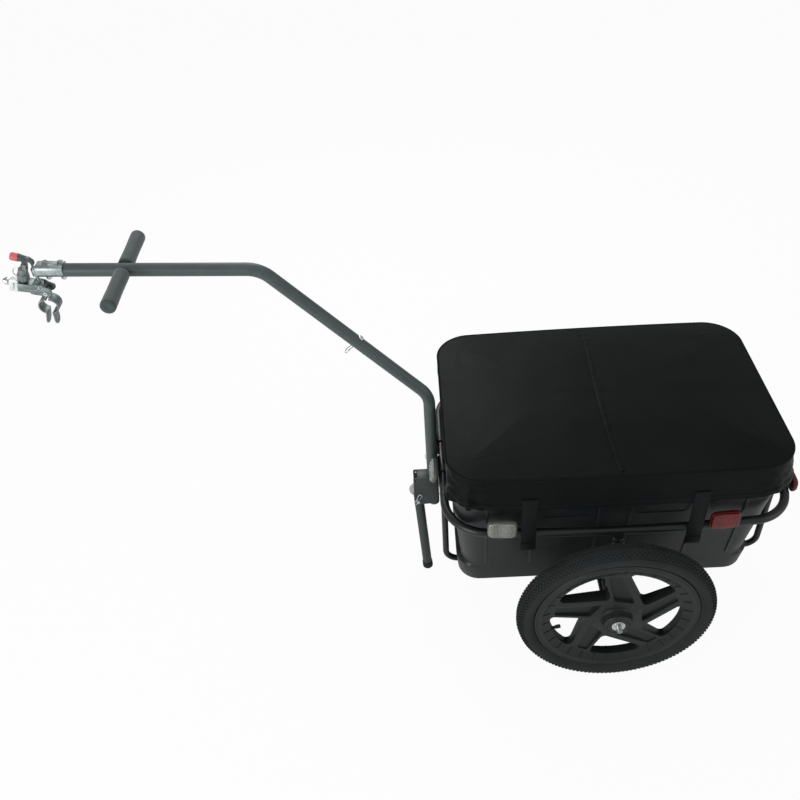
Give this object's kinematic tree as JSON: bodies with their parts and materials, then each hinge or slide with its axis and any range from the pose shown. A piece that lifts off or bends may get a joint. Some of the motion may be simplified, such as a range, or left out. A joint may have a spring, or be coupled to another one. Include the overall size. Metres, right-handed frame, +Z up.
{
  "type": "bike cargo trailer",
  "caption": "Bike cargo trailer: covered plastic tub in a tube frame on spoked wheels, with a cranked tow bar, cross handle, folding leg and seatpost clamp hitch",
  "frame": {"origin": "on the ground, in the middle of the whole length and width", "axes": "+X forward to the hitch, +Y to the trailer's left, +Z up"},
  "size_m": [1.4944, 0.6952, 0.9323],
  "materials": {
    "black_nylon": "black glass-filled nylon",
    "black_paint": "satin black powder coat",
    "bright_zinc": "bright zinc plate",
    "chrome": "chrome plate",
    "clear_lens": "clear prismatic reflector",
    "cover_fabric": "black coated polyester",
    "grey_nylon": "grey nylon",
    "grey_zinc": "dull zinc plate",
    "grip_foam": "black foam rubber",
    "red_lens": "red prismatic reflector",
    "red_plastic": "red plastic",
    "slate_paint": "slate grey powder coat",
    "steel": "plain steel",
    "tub_polypropylene": "black polypropylene, satin",
    "tyre_rubber": "black tyre rubber",
    "white_nylon": "white nylon"
  },
  "bodies": {
    "chassis": {"frame_rail": "black_paint", "cradle_rod_left": "black_paint", "cradle_rod_right": "black_paint", "cradle_cross_rod": "black_paint", "axle_strut_left": "black_paint", "axle_strut_right": "black_paint", "axle_left": "steel", "axle_right": "steel", "axle_nut_left": "chrome", "axle_nut_right": "chrome", "bar_bracket": "black_paint", "bar_lower_tube": "slate_paint", "bar_upper_tube": "slate_paint", "handle_tube": "slate_paint", "handle_grip_left": "grip_foam", "handle_grip_right": "grip_foam", "hitch_sleeve": "bright_zinc", "sleeve_bolt_front": "steel", "sleeve_bolt_rear": "steel", "sleeve_nut_front": "steel", "sleeve_nut_rear": "steel", "swivel_bolt": "steel", "leg_pivot_pin": "bright_zinc", "leg_clip": "bright_zinc", "reflector_side_white_left": "clear_lens", "reflector_side_white_right": "clear_lens", "reflector_side_red_left": "red_lens", "reflector_side_red_right": "red_lens", "reflector_front_left": "clear_lens", "reflector_front_right": "clear_lens", "reflector_rear_left": "red_lens", "reflector_rear_right": "red_lens"},
    "wheel_left": {"tyre_left": "tyre_rubber", "rim_left": "black_nylon", "inner_tube_left": "tyre_rubber", "hub_bush_left": "white_nylon"},
    "wheel_right": {"tyre_right": "tyre_rubber", "rim_right": "black_nylon", "inner_tube_right": "tyre_rubber", "hub_bush_right": "white_nylon"},
    "leg": {"stand_leg": "black_paint", "leg_foot_cap": "tyre_rubber"},
    "knob": {"leg_lock_knob": "grey_nylon"},
    "base_pin": {"bar_base_pin": "bright_zinc"},
    "joint_pin": {"bar_joint_pin": "bright_zinc", "bar_joint_ring": "bright_zinc"},
    "swivel": {"swivel_block": "steel"},
    "head": {"hitch_bracket": "grey_zinc", "lock_housing": "grey_nylon", "safety_ring": "steel", "hitch_clevis": "bright_zinc", "clevis_bolt": "chrome", "clamp_pivot_bolt": "bright_zinc"},
    "plunger": {"lock_plunger": "steel"},
    "lever": {"lock_lever": "grey_zinc", "lever_grip": "red_plastic"},
    "clamp_rear": {"clamp_half_rear": "grey_zinc"},
    "clamp_front": {"clamp_half_front": "grey_zinc"},
    "tub": {"tub": "tub_polypropylene"},
    "cover": {"cover": "cover_fabric"}
  },
  "joints": [
    {"name": "wheel_left_spin", "type": "hinge", "parent": "chassis", "child": "wheel_left", "pos_m": [-0.36898, 0.3, 0.2], "axis": [0, 1, 0], "continuous": true},
    {"name": "wheel_right_spin", "type": "hinge", "parent": "chassis", "child": "wheel_right", "pos_m": [-0.36898, -0.3, 0.2], "axis": [0, 1, 0], "continuous": true},
    {"name": "leg_fold", "type": "hinge", "parent": "chassis", "child": "leg", "pos_m": [0.01952, 0, 0.252], "axis": [0, -1, 0], "range_deg": [0, 95]},
    {"name": "leg_knob_turn", "type": "hinge", "parent": "chassis", "child": "knob", "pos_m": [0.01952, 0, 0.252], "axis": [0, 1, 0], "continuous": true},
    {"name": "base_pin_pull", "type": "slide", "parent": "chassis", "child": "base_pin", "axis": [1, 0, 0], "range_m": [0, 0.045]},
    {"name": "joint_pin_play", "type": "slide", "parent": "chassis", "child": "joint_pin", "axis": [-0.7373, 0, 0.6756], "range_m": [0, 0.0065]},
    {"name": "hitch_yaw", "type": "hinge", "parent": "chassis", "child": "swivel", "pos_m": [0.68252, 0, 0.862], "axis": [0, 0, 1], "range_deg": [-45, 45]},
    {"name": "hitch_pitch", "type": "hinge", "parent": "swivel", "child": "head", "pos_m": [0.68252, 0, 0.862], "axis": [0, 1, 0], "range_deg": [-2, 20]},
    {"name": "lever_press", "type": "hinge", "parent": "head", "child": "lever", "pos_m": [0.69642, 0, 0.90604], "axis": [0, 1, 0], "range_deg": [0, 14], "stiffness_Nm_per_rad": 0.4, "springref_deg": -11.46},
    {"name": "plunger_push", "type": "slide", "parent": "head", "child": "plunger", "axis": [0.2756, 0, -0.9613], "range_m": [0, 0.000982]},
    {"name": "clamp_swing", "type": "hinge", "parent": "head", "child": "clamp_rear", "pos_m": [0.67346, 0, 0.85004], "axis": [0, -1, 0], "range_deg": [-20, 12]},
    {"name": "clamp_open", "type": "hinge", "parent": "clamp_rear", "child": "clamp_front", "pos_m": [0.67346, 0, 0.85004], "axis": [0, -1, 0], "range_deg": [-11, 30]},
    {"name": "tub_lift", "type": "slide", "parent": "chassis", "child": "tub", "axis": [0, 0, 1], "range_m": [0, 0.25]},
    {"name": "cover_lift", "type": "slide", "parent": "tub", "child": "cover", "axis": [0, 0, 1], "range_m": [0, 0.12]}
  ],
  "couplings": [
    {"joint": "plunger_push", "follows": "lever_press", "m_per_rad": 0.003814}
  ]
}
